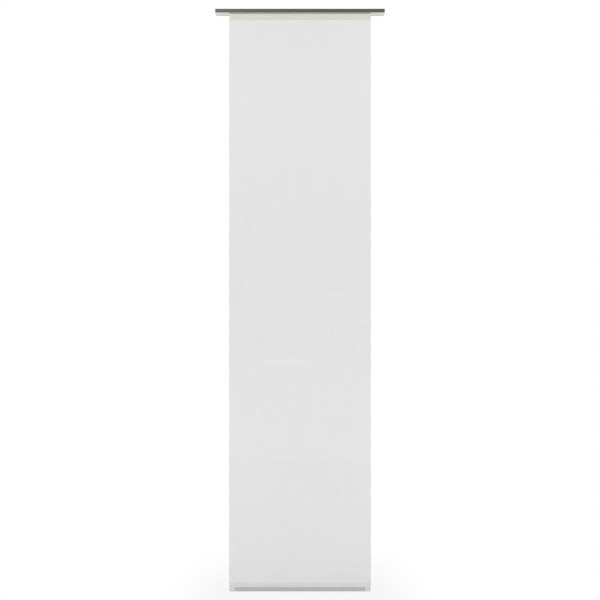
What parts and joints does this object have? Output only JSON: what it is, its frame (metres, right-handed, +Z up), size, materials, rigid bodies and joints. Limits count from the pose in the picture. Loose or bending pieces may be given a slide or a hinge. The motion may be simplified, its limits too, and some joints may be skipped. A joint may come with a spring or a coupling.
{
  "type": "sliding panel curtain",
  "caption": "Flat sheer cloth panel that hangs from a slotted ceiling track on roller trolleys and slides sideways, held flat by a weight bar in its bottom hem.",
  "frame": {"origin": "centre of the track's top face, which lies against the ceiling", "axes": "+Z up through the ceiling, X along the track and across the panel, -Y towards the room"},
  "size_m": [0.717, 0.054, 2.4665],
  "materials": {
    "anodised_aluminium": "extruded and satin anodised in its natural colour",
    "white_coated_aluminium": "extruded aluminium, powder-coated in matt white",
    "silver_plastic": "moulded, lacquered in satin silver",
    "trolley_plastic": "moulded acetal, low sheen",
    "wheel_plastic": "moulded nylon, low sheen",
    "bright_steel": "drawn and polished",
    "hook_tape": "woven nylon tape with stiff hooks",
    "loop_tape": "knitted nylon tape with soft loops",
    "sheer_cloth": "plain-woven sheer polyester, matt, edges cut with heat",
    "plated_steel": "zinc-plated flat bar, dull",
    "white_plastic": "moulded, smooth"
  },
  "bodies": {
    "track": {"track_rail": "anodised_aluminium", "track_end_cap_left": "silver_plastic", "track_end_cap_right": "silver_plastic"},
    "panel": {"panel_carrier": "white_coated_aluminium", "carrier_end_cap_left": "white_plastic", "carrier_end_cap_right": "white_plastic", "hook_tape": "hook_tape", "loop_tape": "loop_tape", "fabric_panel": "sheer_cloth", "weight_bar": "plated_steel", "weight_bar_cap_left": "white_plastic", "weight_bar_cap_right": "white_plastic", "trolley_frame_1": "trolley_plastic", "trolley_frame_2": "trolley_plastic", "trolley_frame_3": "trolley_plastic", "trolley_frame_4": "trolley_plastic"},
    "wheelset_1": {"trolley_axle_1": "bright_steel", "trolley_wheel_front_1": "wheel_plastic", "trolley_wheel_rear_1": "wheel_plastic"},
    "wheelset_2": {"trolley_axle_2": "bright_steel", "trolley_wheel_front_2": "wheel_plastic", "trolley_wheel_rear_2": "wheel_plastic"},
    "wheelset_3": {"trolley_axle_3": "bright_steel", "trolley_wheel_front_3": "wheel_plastic", "trolley_wheel_rear_3": "wheel_plastic"},
    "wheelset_4": {"trolley_axle_4": "bright_steel", "trolley_wheel_front_4": "wheel_plastic", "trolley_wheel_rear_4": "wheel_plastic"}
  },
  "joints": [
    {"name": "panel_slide", "type": "slide", "parent": "track", "child": "panel", "axis": [1, 0, 0], "range_m": [-0.0582, 0.0582]},
    {"name": "wheel_spin_1", "type": "hinge", "parent": "panel", "child": "wheelset_1", "pos_m": [-0.27, 0, -0.0088], "axis": [0, 1, 0], "continuous": true},
    {"name": "wheel_spin_2", "type": "hinge", "parent": "panel", "child": "wheelset_2", "pos_m": [-0.09, 0, -0.0088], "axis": [0, 1, 0], "continuous": true},
    {"name": "wheel_spin_3", "type": "hinge", "parent": "panel", "child": "wheelset_3", "pos_m": [0.09, 0, -0.0088], "axis": [0, 1, 0], "continuous": true},
    {"name": "wheel_spin_4", "type": "hinge", "parent": "panel", "child": "wheelset_4", "pos_m": [0.27, 0, -0.0088], "axis": [0, 1, 0], "continuous": true}
  ],
  "couplings": [
    {"joint": "wheel_spin_1", "follows": "panel_slide", "rad_per_m": 222.22},
    {"joint": "wheel_spin_2", "follows": "panel_slide", "rad_per_m": 222.22},
    {"joint": "wheel_spin_3", "follows": "panel_slide", "rad_per_m": 222.22},
    {"joint": "wheel_spin_4", "follows": "panel_slide", "rad_per_m": 222.22}
  ]
}
